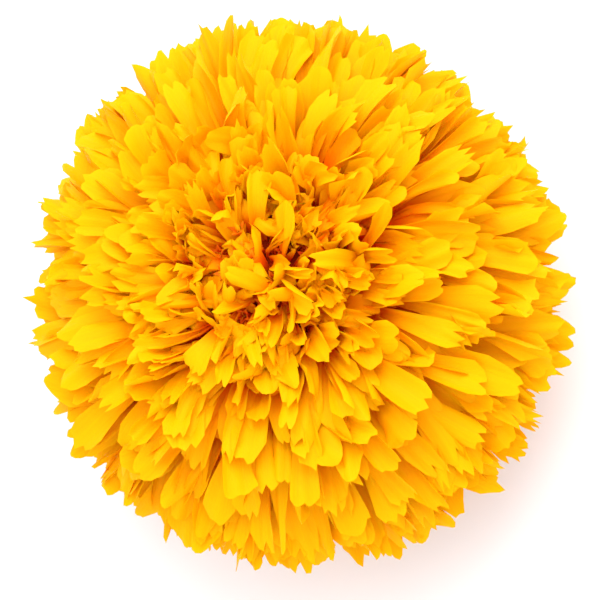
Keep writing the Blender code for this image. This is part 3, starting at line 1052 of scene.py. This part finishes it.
YOUNG_FLORETS = 190
YOUNG_SPREAD = 15.0 * MM
YOUNG_WIDTH = 3.8 * MM
YOUNG_TOP = DISC_HIGH.z - 0.9 * MM
YOUNG_CROWN = 3.5 * MM
YOUNG_ROOT_UP = DISC_LOW.z + 2.0 * MM
YOUNG_ROOT_SHARE = 0.55
YOUNG_BEND_SHARE = 0.85
YOUNG_TURN = 2.0
YOUNG_RUFFLE = 0.6
young_draw = random.Random(FLORET_SEED + 3)
young_florets = []
for index in range(YOUNG_FLORETS):
    share = math.sqrt((index + 0.5) / YOUNG_FLORETS)
    out = YOUNG_SPREAD * share
    top = YOUNG_TOP - YOUNG_CROWN * share ** 2 + young_draw.uniform(-1.5, 1.2) * MM
    root = Vector((YOUNG_ROOT_SHARE * out, YOUNG_ROOT_UP))
    bend = Vector((YOUNG_BEND_SHARE * out, top - young_draw.uniform(-0.5, 1.5) * MM))
    tip = Vector((out + young_draw.uniform(-3.0, 6.0) * MM, top + young_draw.uniform(-1.2, 1.0) * MM))
    path = (root, bend, tip, YOUNG_WIDTH / PETAL_WIDTH)
    floret = dressed(grown(index * GOLDEN_ANGLE + YOUNG_TURN, path, young_draw), 1.0, young_draw)
    floret["roll"] += young_draw.uniform(0.0, 0.9)
    floret["ruffle"] *= YOUNG_RUFFLE
    young_florets.append(floret)

young_petals = grow(points_with("young_petals", young_florets, "tip"), petals, shapes)
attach(young_petals, "root")
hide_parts("ray_florets")


# --- The disc florets ----------------------------------------------------------------------------
# The small tubular florets of the middle, on a low cushion: each a slim tube that flares into five
# pointed lobes round a sunk throat, with the forked style standing out of it.

DISC_FLORETS = 22
DISC_SEED = 5
DISC_FOOT = DISC_LOW.z
DISC_RISE = 4.8 * MM
DISC_MARGIN = 1.4 * MM
DISC_LEAN = 0.25
DISC_GRAIN = (700.0, 700.0, 300.0)
CUSHION_RISE = 2.6 * MM
CUSHION_SIDES = 40
CUSHION_PIT = 0.15 * MM
LOBES = 5
FLARE_FROM = 0.72
THROAT = 0.55
STYLE_STEPS = 5
STYLE_SIDES = 4
STYLE_FORK = 0.55
STYLE_RADIUS = 0.02


def cushion():
    """The low cushion that the disc florets stand on, pitted in rings."""
    profile = [
        (0.97 * DISC_RADIUS, DISC_FOOT),
        (DISC_RADIUS, DISC_FOOT + 0.3 * MM),
        (0.9 * DISC_RADIUS, DISC_FOOT + 0.5 * CUSHION_RISE),
        (0.7 * DISC_RADIUS, DISC_FOOT + 0.78 * CUSHION_RISE),
        (0.4 * DISC_RADIUS, DISC_FOOT + 0.95 * CUSHION_RISE),
        (0.1 * DISC_RADIUS, DISC_FOOT + CUSHION_RISE),
    ]
    rings = []
    for row, (out, up) in enumerate(profile):
        ring = []
        for side in range(CUSHION_SIDES):
            turn = 2.0 * math.pi * (side + 0.5 * (row % 2)) / CUSHION_SIDES
            sink = CUSHION_PIT * (side % 2) * (row > 0)
            ring.append(around(out, turn, up - sink))
        rings.append(ring)
    mesh = closed_mesh("disc_cushion", rings, (0.0, 0.0, DISC_FOOT), (0.0, 0.0, DISC_FOOT + CUSHION_RISE))
    return in_scene("disc_cushion", mesh)


def trumpet_blank():
    """One disc floret, 1 high: up the tube, out over the lobes, and down into the closed throat."""
    outside = [(0.075, 0.0), (0.07, 0.45), (0.11, 0.72), (0.21, 0.95)]
    inside = [(0.19, 0.98), (0.1, 0.86), (0.045, 0.6)]
    rings = []
    for radius, up in outside + inside:
        spread = max(0.0, (up - FLARE_FROM) / (1.0 - FLARE_FROM)) ** 0.7
        ring = []
        for side in range(2 * LOBES):
            turn = math.pi * side / LOBES
            pointed = 1.0 + spread * (0.25 if side % 2 == 0 else -0.4)
            lift = spread * (0.04 if side % 2 == 0 else -0.1)
            ring.append(around(radius * pointed, turn, up + lift))
        rings.append(ring)
    mesh = closed_mesh("trumpet_blank", rings, (0.0, 0.0, 0.0), (0.0, 0.0, THROAT))
    return bpy.data.objects.new("trumpet_blank", mesh)


def style_blank():
    """A style, 1 high: a slim stem with two arms that curl away from each other."""
    bm = bmesh.new()
    for way in (1.0, -1.0):
        rings = []
        for step in range(STYLE_STEPS + 1):
            share = step / STYLE_STEPS
            bend = max(0.0, share - STYLE_FORK) / (1.0 - STYLE_FORK)
            middle = Vector((way * (0.012 + 0.09 * bend ** 1.4), 0.0, 0.5 + 0.5 * share - 0.08 * bend ** 3))
            radius = STYLE_RADIUS * (1.0 - 0.45 * share)
            turns = [2.0 * math.pi * side / STYLE_SIDES for side in range(STYLE_SIDES)]
            rings.append([bm.verts.new(middle + around(radius, turn, 0.0)) for turn in turns])
        closed_tube(bm, rings)
    return blank("style_blank", bm)


def disc_points(name):
    """Where the disc florets stand, how each is turned and leans, and its height."""
    draw = random.Random(DISC_SEED)
    florets = []
    for index in range(DISC_FLORETS):
        share = math.sqrt((index + 0.4) / DISC_FLORETS)
        turn = index * GOLDEN_ANGLE
        out = (DISC_RADIUS - DISC_MARGIN) * share
        up = DISC_FOOT + CUSHION_RISE * (1.0 - share ** 2) * 0.9 + 0.2 * MM
        florets.append({
            "foot": around(out, turn, up),
            "turned": Vector((draw.gauss(0.0, 0.08), DISC_LEAN * share + draw.gauss(0.0, 0.08), turn)),
            "rise": DISC_RISE * draw.uniform(0.8, 1.1),
        })
    return points_with(name, florets, "foot")


def disc_tree():
    """Stands a copy of the blank on every disc floret's foot."""
    tree, given, result = geometry_tree("disc_florets", ("Blank",), {})
    rise, = named(tree, "FLOAT", "rise")
    turned, = named(tree, "FLOAT_VECTOR", "turned")
    floret = object_input(tree, given.outputs["Blank"])
    real = real_copies(tree, given.outputs["Geometry"], floret, turned, vector_from(tree, rise, rise, rise))
    return covered(tree, real, given, result)


def disc_material(name, stops):
    """Yellow lobes over tubes, coloured darker and redder towards the foot: painted shade in the depth of the
    disc.
    """
    skin = Skin(name)
    x, y, z = skin.place()
    vein = skin.grain((x, y, z), DISC_GRAIN)[0]
    height = (z - DISC_FOOT) / (DISC_HIGH.z - DISC_FOOT)
    colour = skin.colours(height + (vein - 0.5) * 0.2, stops)
    return skin.finish(colour, vein, rough=0.4, bump=0.3, depth=0.1 * MM, glow=0.25)


disc_cushion = cushion()
# Painted shade: the disc, its cushion and the styles darken to deep red towards the foot.
disc_look = disc_material("disc_skin", (
    (0.1, 0.25, 0.02, 0.001),
    (0.5, 0.60, 0.03, 0.001),
    (0.75, 0.90, 0.16, 0.001),
    (0.95, 0.96, 0.38, 0.002),
))
style_look = disc_material("style_skin", ((0.5, 0.55, 0.14, 0.003), (0.95, 0.85, 0.30, 0.01)))
disc_cushion.data.materials.append(disc_look)
stands = disc_tree()
disc_trumpets = grow(disc_points("disc_trumpets"), stands, {"Blank": trumpet_blank(), "Material": disc_look})
disc_styles = grow(disc_points("disc_styles"), stands, {"Blank": style_blank(), "Material": style_look})
for piece in (disc_cushion, disc_trumpets, disc_styles):
    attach(piece, "root")
    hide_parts("disc_florets")


# --- The floor, the light and the camera ---------------------------------------------------------
# A pale floor under a bright white surround. The key light, broad and soft, stands behind the head
# and above it, and a weak one near the camera, which looks down on the head.

FLOOR_SIZE = 1.5
FLOOR_WHITE = (0.96, 0.96, 0.96, 1.0)
FLOOR_ROUGHNESS = 0.8
SURROUND_WHITE = (1.0, 1.0, 1.0, 1.0)
SURROUND_STRENGTH = 1.32
VIEW_GAMMA = 1.25
AIM = Vector((0.8 * MM, -1.3 * MM, HEAD_MIDDLE))
TILT_RIGHT = math.radians(20.0)
TILT_FRONT = math.radians(12.0)
CAMERA_DISTANCE = 0.5
LENS_LENGTH = 229.5

bm = bmesh.new()
bmesh.ops.create_grid(bm, x_segments=1, y_segments=1, size=FLOOR_SIZE)
floor = in_scene("floor", mesh_from("floor", bm))
floor_look = bpy.data.materials.new("floor_white")
floor_look.use_nodes = True
floor_shader = floor_look.node_tree.nodes["Principled BSDF"]
floor_shader.inputs["Base Color"].default_value = FLOOR_WHITE
floor_shader.inputs["Roughness"].default_value = FLOOR_ROUGHNESS
floor.data.materials.append(floor_look)


def soft_light(name, place, size, power):
    """A square area light that looks at the flower."""
    light = bpy.data.lights.new(name, "AREA")
    light.size = size
    light.energy = power
    lamp = in_scene(name, light)
    lamp.location = place
    lamp.rotation_euler = (AIM - Vector(place)).to_track_quat("-Z", "Y").to_euler()


soft_light("key", place=(0.08, 0.36, 0.48), size=0.5, power=2.4)
soft_light("fill", place=(0.15, 0.1, 0.6), size=0.3, power=0.4)

scene = bpy.context.scene
world = bpy.data.worlds.new("surround")
world.use_nodes = True
surround = world.node_tree.nodes["Background"]
surround.inputs["Color"].default_value = SURROUND_WHITE
surround.inputs["Strength"].default_value = SURROUND_STRENGTH
scene.world = world
scene.view_settings.view_transform = "Standard"
scene.view_settings.gamma = VIEW_GAMMA

lens = bpy.data.cameras.new("camera")
lens.lens = LENS_LENGTH
camera = in_scene("camera", lens)
scene.camera = camera
back = Vector((math.sin(TILT_RIGHT), -math.sin(TILT_FRONT), 1.0)).normalized()
right = Vector((0.0, 1.0, 0.0)).cross(back).normalized()
camera.location = AIM + CAMERA_DISTANCE * back
camera.rotation_euler = Matrix((right, back.cross(right), back)).transposed().to_euler()
